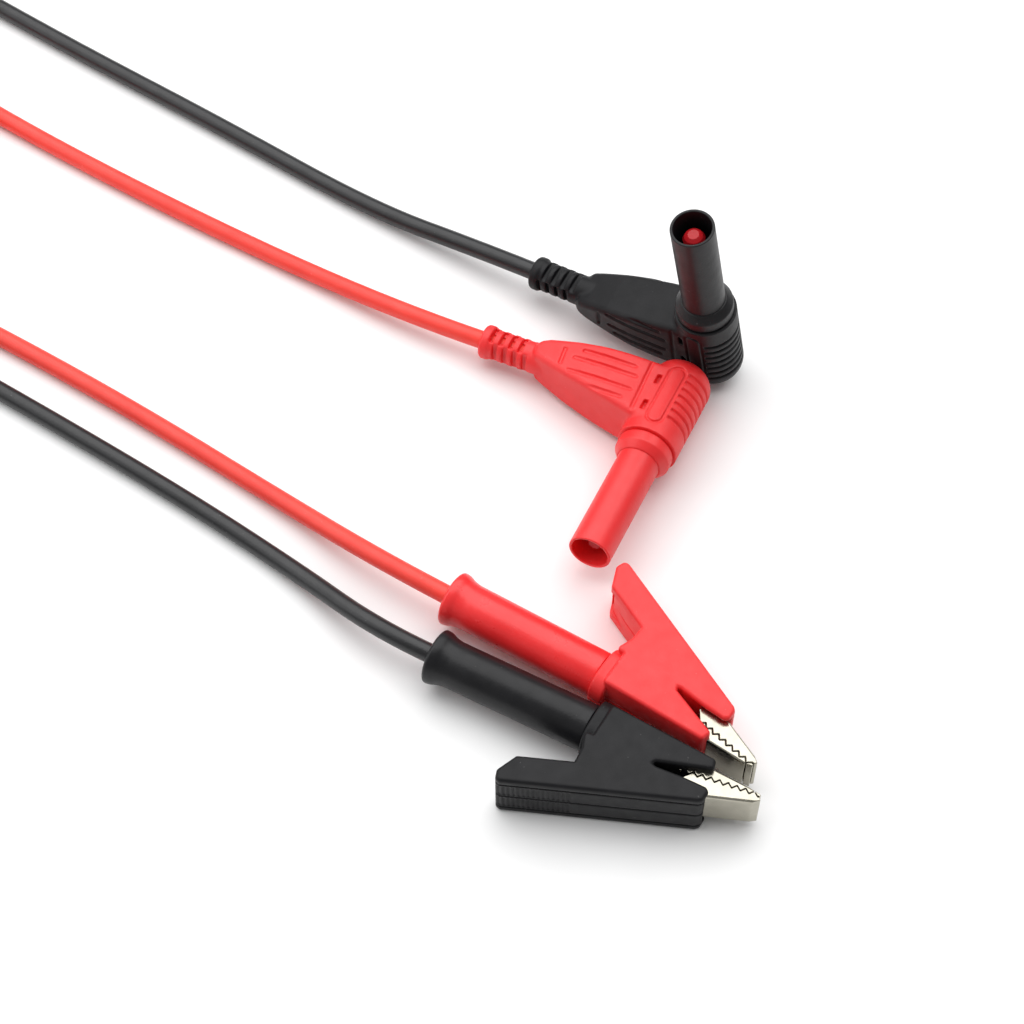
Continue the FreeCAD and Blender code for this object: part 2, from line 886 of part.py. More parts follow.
def pin_tip(label):
    """Insulating cap on the pin's end."""
    body = new_body(label)
    profile = new_sketch(body, label + "_profile", "XZ_Plane")
    top = "Dims.pin_length + Dims.tip_length"
    peg = "Dims.pin_length + Dims.peg_length"
    outline(
        profile,
        [
            ("Dims.peg_radius", "Dims.pin_length"),
            ("Dims.pin_radius", "Dims.pin_length"),
            ("Dims.pin_radius", f"{top} - 1.2"),
            ("Dims.pin_radius - 0.35", f"{top} - 0.5"),
            ("Dims.pin_radius - 1", top),
            ("0", top),
            ("0", peg),
            ("Dims.peg_radius", peg),
        ],
    )
    revolve(body, profile, "V_Axis")
    return body


# ---------------------------------------------------------------- cords

# Corners of each cord run, from the plug or handle to its coil, and the coil centres.
ROUTES = {
    "red_plug": [
        (-54.8, 60.9, 1.75),
        (-83.5, 77.9, 1.75),
        (-111.5, 95.9, 1.75),
        (-135.8, 113.6, 1.75),
    ],
    "red_clip": [
        (-54.5, 5.5, 1.75),
        (-83.5, 26.0, 1.75),
        (-111.3, 43.9, 1.75),
        (-137.0, 58.9, 1.75),
        (-161.8, 71.9, 1.75),
    ],
    "black_plug": [
        (-41.5, 76.2, 1.75),
        (-73.5, 98.8, 1.75),
        (-105.5, 120.2, 1.75),
        (-134.5, 140.8, 1.75),
        (-162.6, 161.4, 1.75),
    ],
    "black_clip": [
        (-52.0, -9.0, 1.75),
        (-73.5, 6.8, 1.75),
        (-103.5, 26.9, 1.75),
        (-133.5, 46.1, 1.75),
        (-173.5, 69.2, 1.75),
        (-201.0, 101.2, 1.75),
        (-201.0, 141.2, 1.75),
    ],
}
COILS = {"red": (-149.5, 93.2), "black": (-176.5, 141.2)}
EXIT_RUN = {"red_plug": 13, "red_clip": 13, "black_plug": 13, "black_clip": 10.5}


def rounded_path(corners):
    """Straight edges and arcs through the corners, and the tightest arc radius."""
    edges, radii = [], []
    spot = corners[0]
    for before, corner, after in zip(corners, corners[1:], corners[2:]):
        back, ahead = before - corner, after - corner
        shorter = 0.45 * min(back.Length, ahead.Length)
        back.normalize()
        ahead.normalize()
        half_turn = (math.pi - back.getAngle(ahead)) / 2
        radius = shorter / math.tan(half_turn)
        enter, leave = corner + back * shorter, corner + ahead * shorter
        inward = (back + ahead).normalize()
        middle = corner + inward * (radius / math.cos(half_turn) - radius)
        edges.append(Part.LineSegment(spot, enter).toShape())
        edges.append(Part.Arc(enter, middle, leave).toShape())
        radii.append(radius)
        spot = leave
    edges.append(Part.LineSegment(spot, corners[-1]).toShape())
    return Part.Wire(edges), min(radii)


def cord_run(label, corners):
    """A round tube along the corners, checked against section times length."""
    radius = size("cord_radius")
    path, tightest = rounded_path(corners)
    heading = corners[1] - corners[0]
    section = Part.Wire([Part.makeCircle(radius, corners[0], heading)])
    feature = doc.addObject("Part::Feature", label)
    feature.Label = label
    feature.Shape = path.makePipeShell([section], True, False)
    expected = math.pi * radius**2 * path.Length
    ratio = feature.Shape.Volume / expected
    print(
        f"{label}: length {path.Length:.1f}, tightest radius {tightest:.1f},"
        f" volume ratio {ratio:.4f}"
    )
    if abs(ratio - 1) > 0.01:
        raise RuntimeError(f"{label} is not an even tube")
    return feature


def cord_coil(label):
    """The put-away turns as one ring."""
    body = new_body(label)
    start = ("0", "0", "0")
    outer = "Dims.coil_radius + Dims.coil_width / 2"
    inner = "Dims.coil_radius - Dims.coil_width / 2"
    rod(body, "Additive", label + "_turns", outer, "Dims.coil_height", start, "Z")
    rod(body, "Subtractive", label + "_eye", inner, "Dims.coil_height", start, "Z")
    return body


# ---------------------------------------------------------------- stage and export


def clip_pieces(lead):
    """The clip's pieces in the clip frame: those that follow the jaws and the sleeve."""
    with_jaws = [
        cover_fixed_half(lead + "_cover_fixed_half"),
        cover_lever_half(lead + "_cover_lever_half"),
        fixed_jaw(lead + "_fixed_jaw"),
        moving_jaw(lead + "_moving_jaw"),
        pivot_rivet(lead + "_pivot_rivet"),
        torsion_spring(lead + "_torsion_spring"),
        round_stock(
            lead + "_clip_conductor",
            "Dims.strand_radius",
            ("0.2 - Dims.strip_length", "0", "0"),
            "Dims.strip_length - 4",
        ),
    ]
    with_sleeve = [
        handle_sleeve(lead + "_handle_sleeve"),
        round_stock(
            lead + "_clip_cord_end",
            "Dims.cord_radius",
            ("-Dims.sleeve_length", "0", "0"),
            "Dims.sleeve_length - Dims.strip_length",
        ),
    ]
    return with_jaws, with_sleeve


def plug_pieces(lead):
    return [
        plug_body(lead + "_plug_body"),
        shroud(lead + "_shroud"),
        plug_core(lead + "_plug_core"),
        contact_pin(lead + "_contact_pin"),
        pin_spring(lead + "_pin_spring"),
        pin_tip(lead + "_pin_tip"),
        round_stock(
            lead + "_plug_conductor",
            "Dims.strand_radius",
            ("Dims.pin_radius + 0.2", "0", "Dims.arm_axis_z"),
            "Dims.strip_length - Dims.pin_radius - 0.2",
        ),
        round_stock(
            lead + "_plug_cord_end",
            "Dims.cord_radius",
            ("Dims.strip_length", "0", "Dims.arm_axis_z"),
            "Dims.relief_end - Dims.strip_length",
        ),
    ]


def lay_lead(lead):
    """Build one lead, put its pieces in place and return them."""
    keys = [key for key in STAGE if key.startswith(lead)]
    at = {key.removeprefix(lead + "_"): size(key) for key in keys}
    height = size("cover_thickness") / 2
    clip_spot = Vector(at["clip_x"], at["clip_y"], height)
    clip_frame = Placement(clip_spot, Rotation(at["clip_turn"], 0, at["clip_roll"]))
    swung = at["clip_turn"] + at["sleeve_swing"]
    sleeve_frame = Placement(clip_spot, Rotation(swung, 0, at["clip_roll"]))
    plug_turn = Rotation(at["plug_yaw"], at["plug_pitch"], at["plug_roll"])
    plug_spot = Vector(at["plug_x"], at["plug_y"], at["plug_z"])
    plug_frame = Placement(plug_spot, plug_turn)

    with_jaws, with_sleeve = clip_pieces(lead)
    of_plug = plug_pieces(lead)
    for pieces, frame in (
        (with_jaws, clip_frame),
        (with_sleeve, sleeve_frame),
        (of_plug, plug_frame),
    ):
        for piece in pieces:
            piece.Placement = frame

    handle_exit = Vector(-size("sleeve_length"), 0, 0)
    relief_exit = Vector(size("relief_end"), 0, size("arm_axis_z"))
    cords = []
    for end, frame, exit_point, way in (
        ("clip", sleeve_frame, handle_exit, -1),
        ("plug", plug_frame, relief_exit, 1),
    ):
        run = EXIT_RUN[f"{lead}_{end}"]
        first = frame.multVec(exit_point)
        second = frame.multVec(exit_point + Vector(way * run, 0, 0))
        corners = [first, second] + [Vector(*p) for p in ROUTES[f"{lead}_{end}"]]
        cords.append(cord_run(f"{lead}_cord_{end}_run", corners))
    coil = cord_coil(lead + "_cord_coil")
    coil.Placement = Placement(Vector(*COILS[lead], 0), Rotation())
    return with_jaws + with_sleeve + of_plug, cords + [coil]


def check_and_export(pieces):
    doc.recompute()
    for thing in doc.Objects:
        if "Invalid" in thing.State or "Error" in thing.State:
            raise RuntimeError(f"{thing.Name} failed to compute: {thing.State}")
    os.makedirs("parts", exist_ok=True)
    for piece in pieces:
        shape = piece.Shape
        if shape.isNull() or not shape.isValid() or len(shape.Solids) != 1:
            raise RuntimeError(f"{piece.Label} is not one valid solid")
        shape.exportStep(f"parts/{piece.Label}.step")


own, cords = [], []
for lead in LEADS:
    pieces, runs = lay_lead(lead)
    own += pieces
    cords += runs
check_and_export(own + cords)
extent = FreeCAD.BoundBox()
for piece in own:
    extent.add(piece.Shape.BoundBox)
print("clips and plugs:", extent)
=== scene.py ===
import math

import bpy
import numpy as np
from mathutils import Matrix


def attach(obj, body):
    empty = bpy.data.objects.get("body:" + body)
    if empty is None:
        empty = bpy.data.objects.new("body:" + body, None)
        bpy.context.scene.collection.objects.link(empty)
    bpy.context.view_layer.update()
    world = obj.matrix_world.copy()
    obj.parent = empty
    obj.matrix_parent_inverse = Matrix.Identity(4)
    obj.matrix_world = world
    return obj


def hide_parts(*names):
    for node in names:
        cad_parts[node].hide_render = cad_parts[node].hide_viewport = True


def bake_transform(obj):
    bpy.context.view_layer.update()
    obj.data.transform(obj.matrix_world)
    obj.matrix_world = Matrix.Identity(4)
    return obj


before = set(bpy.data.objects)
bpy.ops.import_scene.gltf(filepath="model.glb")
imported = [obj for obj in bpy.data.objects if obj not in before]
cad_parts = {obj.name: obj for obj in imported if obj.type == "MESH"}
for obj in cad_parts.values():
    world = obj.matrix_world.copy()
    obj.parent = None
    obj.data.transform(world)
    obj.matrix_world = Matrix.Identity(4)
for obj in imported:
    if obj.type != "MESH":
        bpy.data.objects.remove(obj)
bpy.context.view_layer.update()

import openvdb
from mathutils import Euler, Matrix, Vector

# A red and a black test lead on a white surface. Each has an insulated alligator clip, a
# silicone cord and a right-angle shrouded banana plug. Lengths are millimetres in each
# piece's own frame, and the pieces are placed and scaled to metres at the end.

MM = 0.001
LEADS = ("red", "black")

# ---------------------------------------------------------------- camera

LOOK_AT = Vector((-13.5, 5.15, 0)) * MM
CAMERA_DISTANCE = 420 * MM
CAMERA_TILT = 57
LENS = 80.2

camera_data = bpy.data.cameras.new("camera")
camera_data.lens = LENS
camera_data.sensor_width = 36
camera_data.clip_start = 0.01
camera = bpy.data.objects.new("camera", camera_data)
bpy.context.scene.collection.objects.link(camera)
tilt = math.radians(CAMERA_TILT)
camera.location = LOOK_AT + CAMERA_DISTANCE * Vector((0, -math.cos(tilt), math.sin(tilt)))
camera.rotation_euler = (math.pi / 2 - tilt, 0, 0)
bpy.context.scene.camera = camera

# ---------------------------------------------------------------- where the pieces lie

COVER_THICKNESS = 11.4
SLEEVE_LENGTH = 33.6
RELIEF_END = 38.5
ARM_AXIS_Z = -11.6

CLIP_PLACE = {
    "red": ((3.7, -33.45), -35.4, 0),
    "black": ((1.7, -43.65), -30.1, 180),
}
SLEEVE_SWING = {"red": 4.2, "black": 2.0}
PLUG_PLACE = {
    "red": ((11.25, 14.6, 6.9), (155.2, 2.4, -86.3)),
    "black": ((22.1, 36.3, 20.62), (148.9, 5.4, -9.2)),
}


def placement(spot, yaw, pitch, roll):
    """Matrix from a piece's frame in millimetres to the row frame in metres."""
    turn = Euler([math.radians(a) for a in (roll, pitch, yaw)], "XYZ").to_matrix()
    return Matrix.Translation(Vector(spot) * MM) @ turn.to_4x4() @ Matrix.Scale(MM, 4)


def clip_frame(lead, swing=0):
    (x, y), turn, roll = CLIP_PLACE[lead]
    return placement((x, y, COVER_THICKNESS / 2), turn + swing, 0, roll)


def plug_frame(lead):
    spot, (yaw, pitch, roll) = PLUG_PLACE[lead]
    return placement(spot, yaw, pitch, roll)


# ---------------------------------------------------------------- cords

CORD_RADIUS = 1.75
COIL_POINTS_PER_TURN = 14
COIL_OUTER = 24.55
COIL_INNER = 15.45
COIL_LOW = CORD_RADIUS
COIL_HIGH = 3 * CORD_RADIUS

COILS = {"red": ((-149.5, 93.2), 56, 5.51), "black": ((-176.5, 141.2), 55.5, 5.35)}
EXIT_RUN = {"red_plug": 13, "red_clip": 13, "black_plug": 13, "black_clip": 10.5}
# where each loose stretch lies on the surface, from the plug or the handle to the coil
ROUTES = {
    "red_plug": [
        (-54.8, 60.9),
        (-83.5, 77.9),
        (-111.5, 95.9),
    ],
    "red_clip": [
        (-54.5, 5.5),
        (-83.5, 26.0),
        (-111.3, 43.9),
        (-137.0, 58.9),
    ],
    "black_plug": [
        (-41.5, 76.2),
        (-73.5, 98.8),
        (-105.5, 120.2),
        (-134.5, 140.8),
    ],
    "black_clip": [
        (-52.0, -9.0),
        (-73.5, 6.8),
        (-103.5, 26.9),
        (-133.5, 46.1),
        (-173.5, 69.2),
        (-201.0, 101.2),
    ],
}


def coil_points(lead):
    """Turns wound inward on the surface, then outward on top of those."""
    (cx, cy), start, turns = COILS[lead]
    count = round(turns * COIL_POINTS_PER_TURN)
    rise_from, rise_to = turns / 2 - 0.15, turns / 2 + 0.15
    points = []
    for k in range(count + 1):
        t = turns * k / count
        inward = min(t / rise_from, 1) - max((t - rise_to) / (turns - rise_to), 0)
        lift = min(max((t - rise_from) / (rise_to - rise_from), 0), 1)
        radius = COIL_OUTER + (COIL_INNER - COIL_OUTER) * inward
        angle = math.radians(start) + t * math.tau
        points.append(
            (
                cx + radius * math.cos(angle),
                cy + radius * math.sin(angle),
                COIL_LOW + (COIL_HIGH - COIL_LOW) * lift,
            )
        )
    return points


def cord_start(lead, end):
    """Where the cord leaves the plug or the handle, and a point straight out of it."""
    if end == "plug":
        matrix, spot, way = plug_frame(lead), (RELIEF_END, 0, ARM_AXIS_Z), 1
    else:
        matrix, spot, way = clip_frame(lead, SLEEVE_SWING[lead]), (-SLEEVE_LENGTH, 0, 0), -1
    out = Vector(spot) + Vector((way * EXIT_RUN[f"{lead}_{end}"], 0, 0))
    return [matrix @ Vector(spot), matrix @ out]


def laid(spots):
    """Points of the cord's centre line where it rests on the surface."""
    return [Vector((x, y, CORD_RADIUS)) * MM for x, y in spots]


def spline_length(curve_object):
    """Length of the curve's own line, without its thickness."""
    data = curve_object.data.copy()
    data.bevel_depth = 0
    bare = bpy.data.objects.new("measure", data)
    mesh = bpy.data.meshes.new_from_object(bare)
    points = [v.co.copy() for v in mesh.vertices]
    bpy.data.objects.remove(bare)
    bpy.data.meshes.remove(mesh)
    return sum((b - a).length for a, b in zip(points, points[1:]))


def make_cord(lead):
    route = cord_start(lead, "plug")
    route += laid(ROUTES[lead + "_plug"])
    route += [Vector(p) * MM for p in coil_points(lead)]
    route += laid(reversed(ROUTES[lead + "_clip"]))
    route += reversed(cord_start(lead, "clip"))
    curve = bpy.data.curves.new(lead + "_cord", "CURVE")
    curve.dimensions = "3D"
    curve.resolution_u = 10
    curve.bevel_depth = 1.0
    curve.bevel_resolution = 8
    spline = curve.splines.new("NURBS")
    spline.points.add(len(route) - 1)
    for point, spot in zip(spline.points, route):
        point.co = (*spot, 1)
        point.radius = CORD_RADIUS * MM
    spline.order_u = 3
    spline.use_endpoint_u = True
    spline.use_smooth = True
    piece = bpy.data.objects.new(lead + "_cord", curve)
    bpy.context.scene.collection.objects.link(piece)
    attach(piece, lead + "_lead")
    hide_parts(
        lead + "_cord_plug_run",
        lead + "_cord_coil",
        lead + "_cord_clip_run",
    )
    round(spline_length(piece), 3)
    return piece


cords = {lead: make_cord(lead) for lead in LEADS}


# ---------------------------------------------------------------- moulded shapes
# A moulded piece is a distance field in its own frame, negative inside, turned into a mesh.


def inset(corners, amount):
    """The outline, counter-clockwise, with every edge moved inward."""
    moved = []
    for k, (x, y) in enumerate(corners):
        px, py = corners[k - 1]
        nx, ny = corners[(k + 1) % len(corners)]
        before = Vector((py - y, x - px)).normalized()
        after = Vector((y - ny, nx - x)).normalized()
        shift = (before + after) * (amount / (1 + before.dot(after)))
        moved.append((x + shift.x, y + shift.y))
    return moved


def outline_distance(corners, x, y):
    """Signed distance to a closed outline."""
    nearest = np.full(np.broadcast(x, y).shape, np.inf)
    inside = np.zeros(nearest.shape, bool)
    for (ax, ay), (bx, by) in zip(corners, corners[1:] + corners[:1]):
        ex, ey = bx - ax, by - ay
        t = np.clip(((x - ax) * ex + (y - ay) * ey) / (ex * ex + ey * ey), 0, 1)
        nearest = np.minimum(nearest, np.hypot(x - ax - t * ex, y - ay - t * ey))
        if ay != by:
            inside ^= ((ay > y) != (by > y)) & (x < ex * (y - ay) / ey + ax)
    return np.where(inside, -nearest, nearest)


def extrude(flat, height, half, rounding):
    """Prism between -half and half, whose flat field is already inset by the rounding."""
    tall = np.abs(height) - (half - rounding)
    outside = np.hypot(np.maximum(flat, 0), np.maximum(tall, 0))
    return outside + np.minimum(np.maximum(flat, tall), 0) - rounding


def prism(corners, x, y, height, half, rounding):
    return extrude(
        outline_distance(inset(corners, rounding), x, y), height, half, rounding
    )


def rod(distance, along, low, high, radius, rounding):
    """Round bar given the distance from its axis and the place along it."""
    wide = distance - (radius - rounding)
    tall = np.abs(along - (low + high) / 2) - ((high - low) / 2 - rounding)
    outside = np.hypot(np.maximum(wide, 0), np.maximum(tall, 0))
    return outside + np.minimum(np.maximum(wide, tall), 0) - rounding


def segment_distance(start, end, x, y, z):
    a, b = np.array(start, float), np.array(end, float)
    e = b - a
    t = np.clip(
        ((x - a[0]) * e[0] + (y - a[1]) * e[1] + (z - a[2]) * e[2]) / (e @ e), 0, 1
    )
    return np.sqrt(
        (x - a[0] - t * e[0]) ** 2
        + (y - a[1] - t * e[1]) ** 2
        + (z - a[2] - t * e[2]) ** 2
    )


def join(a, b, blend=0.0):
    """Union of two fields with a fillet of about that size."""
    if not blend:
        return np.minimum(a, b)
    share = np.clip(0.5 + 0.5 * (b - a) / blend, 0, 1)
    return b + (a - b) * share - blend * share * (1 - share)


def cut(a, b, blend=0.0):
    """The first field without the second."""
    return -join(-a, b, blend)


def mesh_from_field(name, field, low, high, step):
    """Mesh of where the field is negative, in the piece's own frame."""
    low = np.array(low, float) - 2 * step
    counts = np.ceil((np.array(high) + 2 * step - low) / step).astype(int) + 1
    axes = [low[k] + step * np.arange(counts[k]) for k in range(3)]
    x, y, z = np.meshgrid(*axes, indexing="ij", sparse=True)
    values = np.broadcast_to(field(x, y, z), counts).astype(np.float32)
    grid = openvdb.FloatGrid(float(4 * step))
    grid.copyFromArray(np.ascontiguousarray(np.clip(values, -4 * step, 4 * step)))
    points, _, quads = grid.convertToPolygons(0.0, 0.0)
    points = points * step + low
    mesh = bpy.data.meshes.new(name)
    mesh.from_pydata(points.tolist(), [], quads[:, ::-1].tolist())
    mesh.validate()
    mesh.shade_smooth()
    return mesh


def place(name, mesh, matrix, body, material, slot, *nodes):
    """Put a piece made in its own frame into the row frame, in place of CAD nodes."""
    mesh = mesh.copy()
    mesh.transform(matrix)
    mesh.name = name
    mesh.materials.clear()
    mesh.materials.append(material)
    piece = bpy.data.objects.new(name, mesh)
    bpy.context.scene.collection.objects.link(piece)
    if body:
        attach(piece, body)
    if nodes:
        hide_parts(*nodes)
    return piece


# ---------------------------------------------------------------- clip cover

COVER_STEP = 0.19
HALF = COVER_THICKNESS / 2
PIVOT = (5.7, 5.8)
COVER_OUTLINE = [
    (0.2, -3.4),
    (20.1, -2.95),
    (20.7, -1.0),
    (11.6, 2.5),
    (11.3, 3.0),
    (12.0, 3.15),
    (16.8, 2.6),
    (21.0, 2.4),
    (21.8, 3.0),
    (21.7, 4.9),
    (21.1, 5.5),
    (-9.2, 18.8),
    (-10.1, 18.6),
    (-10.7, 17.0),
    (-9.1, 13.1),
    (-0.25, 9.2),
    (-0.4, 6.4),
    (-1.6, 3.3),
    (0.0, 3.2),
]
LEVER_TIP = (-9.7, 18.7)
LEVER_SLOPE = math.radians(-23.7)
PAD_LENGTH = 12.5
PAD_RIDGES = 15
WALL = 1.2
BAND = {"back": -1.85, "front": 1.0, "radius": 5.0}
BORE_RADIUS = 3.65
LINE_HALF = 0.13
STEP_LEVEL = 4.05
PAD_HALF = 3.7
PAD_DEPTH = 0.24


def cover_field(x, y, z):
    """One-piece cover: lever, both jaw shrouds and the collar band, hollow inside."""
    body = prism(COVER_OUTLINE, x, y, z, HALF, 0.7)
    around = np.hypot(y, z)
    squarish = (np.abs(y) ** 2.6 + np.abs(z) ** 2.6) ** (1 / 2.6)
    band = rod(squarish, x, BAND["back"], BAND["front"], BAND["radius"], 0.4)
    shape = join(body, band)
    step_line = np.maximum(np.abs(x - 0.2) - 0.14, HALF - 0.35 - np.abs(z))
    shape = cut(shape, np.maximum(step_line, np.abs(y) - 3.3), 0.08)
    # outer side of the lever: parting line, a step line and the ridged thumb pad
    cos, sin = math.cos(LEVER_SLOPE), math.sin(LEVER_SLOPE)
    along = (x - LEVER_TIP[0]) * cos + (y - LEVER_TIP[1]) * sin
    off = -(x - LEVER_TIP[0]) * sin + (y - LEVER_TIP[1]) * cos
    side = np.abs(off) - 0.3
    parting = np.maximum(np.abs(z) - LINE_HALF, -0.28 - outline_distance(COVER_OUTLINE, x, y))
    shape = cut(shape, parting, 0.12)
    step_lines = np.abs(np.abs(z) - STEP_LEVEL) - LINE_HALF
    shape = cut(shape, np.maximum(side, step_lines), 0.12)
    pad = np.maximum(np.abs(along - PAD_LENGTH / 2) - PAD_LENGTH / 2, np.abs(z) - PAD_HALF)
    pad = np.maximum(np.maximum(pad, 0.3 - np.abs(z)), np.abs(off) - 0.9)
    ridge = 0.5 - 0.5 * np.cos(along * math.tau * PAD_RIDGES / PAD_LENGTH)
    shape = shape + PAD_DEPTH * ridge * np.clip(-pad / 0.25, 0, 1)
    # inner side of the lever: a recess below the upper flange
    inner = outline_distance(
        [(-11, 11.4), (-2.4, 7.5), (-2.0, 9.4), (-8.6, 13.5), (-9.4, 15.2)], x, y
    )
    shape = cut(shape, np.maximum(inner, np.abs(z) - 3.3), 0.2)
    # hollow
    room = outline_distance(inset(COVER_OUTLINE, WALL), x, y)
    mouth = outline_distance([(9, 4.4), (9, 1.5), (24, -6), (24, 8)], x, y)
    lips = np.maximum(mouth, outline_distance(inset(COVER_OUTLINE, 0.9), x, y))
    opening = outline_distance([(12, 2.8), (24, -1.9), (24, 4.2)], x, y)
    hollow = np.maximum(join(join(room, lips), opening), np.abs(z) - (HALF - 1.1))
    hollow = np.maximum(hollow, -x + 0.6)
    shape = cut(shape, hollow, 0.15)
    bore = rod(around, x, -4, 0.75, BORE_RADIUS, 0.1)
    return cut(shape, bore, 0.1)


# ---------------------------------------------------------------- plug overmould

PLUG_STEP = 0.19
ARM_OUTLINE = [
    (0, -16.3),
    (5, -16.35),
    (10, -16.4),
    (15, -16.1),
    (20, -15.5),
    (25.6, -14.4),
    (27.2, -13.6),
    (27.9, -12.6),
    (27.9, -10.5),
    (27.0, -9.4),
    (25.0, -8.6),
    (20, -6.9),
    (14, -5.2),
    (9, -3.9),
    (5, -2.9),
    (0, -2.3),
]
HEAD_RADIUS = 5.8
HEAD_LENGTH = 20.0
HEAD_ROUNDING = 3.8
# level of each grip groove, and where along the arm it starts and ends
GRIP_GROOVES = [
    (-13.3, 8.1, 18.3),
    (-11.1, 7.1, 19.4),
    (-7.8, 6.9, 19.4),
    (-5.4, 7.8, 17.6),
]
RIBS, RIB_FIRST, RIB_PITCH = 7, -15.3, 1.8
RELIEF_RADIUS, FLANGE_RADIUS = 3.0, 3.3
RELIEF_SLOTS = 4
SHROUD_SEAT_RADIUS = 4.4


def plug_field(x, y, z):
    """Overmould: round head, tapered grip arm and slotted strain relief."""
    half = 5.3 - 1.5 * np.clip((x - 13) / 15, 0, 1) ** 1.5
    arm = extrude(outline_distance(inset(ARM_OUTLINE, 1.3), x, z), y, half, 1.3)
    axis = np.hypot(x, y)
    wide = axis - (HEAD_RADIUS - HEAD_ROUNDING)
    tall = -HEAD_LENGTH + HEAD_ROUNDING - z
    head = (
        np.hypot(np.maximum(wide, 0), np.maximum(tall, 0))
        + np.minimum(np.maximum(wide, tall), 0)
        - HEAD_ROUNDING
    )
    head = np.maximum(head, z)
    shape = join(arm, head, 0.7)
    # grip grooves, marks and slots on both broad faces
    mirror = np.abs(y)
    for level, start, end in GRIP_GROOVES:
        groove = segment_distance((start, 5.35, level), (end, 4.98, level), x, mirror, z)
        shape = cut(shape, groove - 0.45, 0.1)
    mark = segment_distance((22, 4.6, -12.6), (21.5, 4.65, -8.9), x, mirror, z)
    shape = cut(shape, mark - 0.4, 0.12)
    line = segment_distance((5.5, 5.4, -15.8), (4.8, 5.4, -2.5), x, mirror, z)
    shape = cut(shape, line - 0.4, 0.12)
    for low, high in ((-13.3, -11.0), (-6.7, -4.3)):
        slot = np.maximum(np.abs(x - 3.0) - 0.45, np.abs(z - (low + high) / 2) - (high - low) / 2)
        shape = cut(shape, np.maximum(slot, 4.3 - mirror), 0.08)
    # raised oval bar along the crest of the head
    bar = np.hypot(x - 0.1, np.maximum(np.abs(z + 9.0) - 5.4, 0)) - 1.55
    shape = cut(shape, np.maximum(np.abs(bar) - 0.22, 5.35 - mirror), 0.12)
    # rib grooves round the back of the head
    for k in range(RIBS):
        level = RIB_FIRST + RIB_PITCH * k
        ring = np.maximum(np.abs(z - level) - 0.3, HEAD_RADIUS - 0.45 - axis)
        ring = np.maximum(ring, x + 1.9 + 0.02 * k)
        shape = cut(shape, ring, 0.15)
    # strain relief
    relief_axis = np.hypot(y, z - ARM_AXIS_Z)
    relief = rod(relief_axis, x, 25, RELIEF_END, RELIEF_RADIUS, 0.5)
    flange = rod(relief_axis, x, RELIEF_END - 1.9, RELIEF_END, FLANGE_RADIUS, 0.6)
    relief = join(relief, flange, 0.4)
    for k in range(RELIEF_SLOTS):
        side_slot = np.maximum(np.abs(x - (29.1 + 2.05 * k)) - 0.5, 1.9 - np.abs(z - ARM_AXIS_Z))
        relief = cut(relief, side_slot, 0.2)
        face_slot = np.maximum(np.abs(x - (30.3 + 2.0 * k)) - 0.42, 1.8 - mirror)
        face_slot = np.maximum(face_slot, np.abs(z - ARM_AXIS_Z) - 1.75)
        relief = cut(relief, face_slot, 0.2)
    shape = join(shape, relief, 0.3)
    shape = cut(shape, rod(relief_axis, x, 12, 60, CORD_RADIUS + 0.02, 0.1))
    return cut(shape, rod(axis, z, -15.0, 10, SHROUD_SEAT_RADIUS, 0.1))


# ---------------------------------------------------------------- jaws

JAW_STEP = 0.11
STEEL = 0.7
JAW_HALF = 3.9
TAIL_HALF = 3.0
EAR_RADIUS = 2.6
RIVET_RADIUS = 1.2
RIVET_PLAY = 0.05
TOOTH_PITCH = 1.5
TOOTH_DEPTH = 0.75
JAW_TIP = (29.4, -1.1)
JAW_SLOPE = math.radians(9.9)


def along_jaw(steps, lift):
    """A point on the parting line, steps teeth back from the tip, lifted off it."""
    run = steps * TOOTH_PITCH
    return (
        JAW_TIP[0] - run * math.cos(JAW_SLOPE) + lift * math.sin(JAW_SLOPE),
        JAW_TIP[1] + run * math.sin(JAW_SLOPE) + lift * math.cos(JAW_SLOPE),
    )


def teeth(count, shift):
    """The zigzag edge from the jaw's tip back to its last tooth."""
    edge = [along_jaw(0.1, shift)]
    for k in range(count):
        edge.append(along_jaw(k + 0.35, shift))
        edge.append(along_jaw(k + 0.85, shift - TOOTH_DEPTH))
    edge.append(along_jaw(count + 0.35, shift))
    return edge


FIXED_OUTLINE = [(0.5, -1.95), (26.8, -1.95), (29.3, -1.55)]
FIXED_OUTLINE += teeth(10, -0.12)
FIXED_OUTLINE += [(9.8, 2.3), (8.3, 5.8), (3.1, 5.8), (2.0, 2.2), (0.5, 0.0)]
MOVING_OUTLINE = teeth(8, 0.12)[::-1]
MOVING_OUTLINE += [(29.65, -0.6), (28.5, 0.45), (22.0, 3.2), (16.2, 5.65), (16.2, 2.4)]
MOVING_OUTLINE = MOVING_OUTLINE[::-1]
TAIL_OUTLINE = [
    (16.9, 4.2),
    (16.9, 5.38),
    (-7.5, 15.6),
    (-7.5, 14.3),
    (1.8, 10.3),
    (3.1, 5.8),
    (5.7, 3.2),
]


